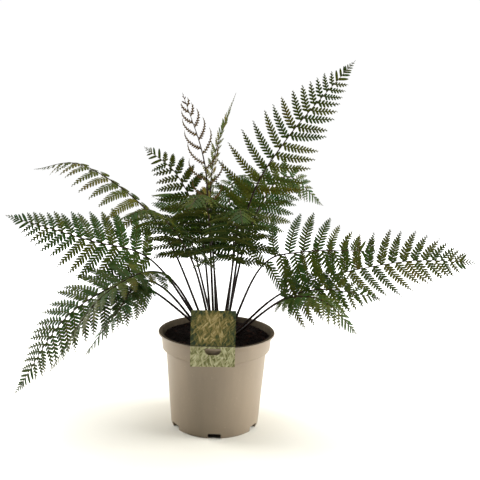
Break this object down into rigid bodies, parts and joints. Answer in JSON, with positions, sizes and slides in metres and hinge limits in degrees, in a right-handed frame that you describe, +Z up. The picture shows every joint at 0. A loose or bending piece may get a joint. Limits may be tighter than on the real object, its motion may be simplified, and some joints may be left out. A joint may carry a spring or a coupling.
{
  "type": "potted fern",
  "caption": "Young fern with long twice-divided fronds on thin brown stalks from one crown, in a round tapered plastic nursery pot of compost with a card label hooked on the rim.",
  "frame": {"origin": "centre of the pot's foot, where it stands", "axes": "+Z up, -Y towards the label and the picture's camera, +X to the right of that camera"},
  "size_m": [0.7112, 0.4182, 0.595],
  "materials": {
    "pot_plastic": "satin",
    "compost": "matte",
    "label_card": "satin",
    "stalk": "satin",
    "frond_green": "satin",
    "frond_bronze": "satin"
  },
  "bodies": {
    "root": {"pot": "pot_plastic", "soil": "compost", "label": "label_card", "rhizome": "stalk", "frond_01": "frond_green", "frond_02": "frond_green", "frond_03": "frond_green", "frond_04": "frond_green", "frond_05": "frond_green", "frond_06": "frond_green", "frond_07": "frond_green", "frond_08": "frond_bronze", "frond_09": "frond_green", "frond_10": "frond_green", "frond_11": "frond_green", "frond_12": "frond_green", "frond_13": "frond_green", "frond_14": "frond_green", "frond_15": "frond_green", "frond_16": "frond_green", "frond_17": "frond_green", "frond_18": "frond_green", "frond_19": "frond_green"}
  },
  "joints": []
}
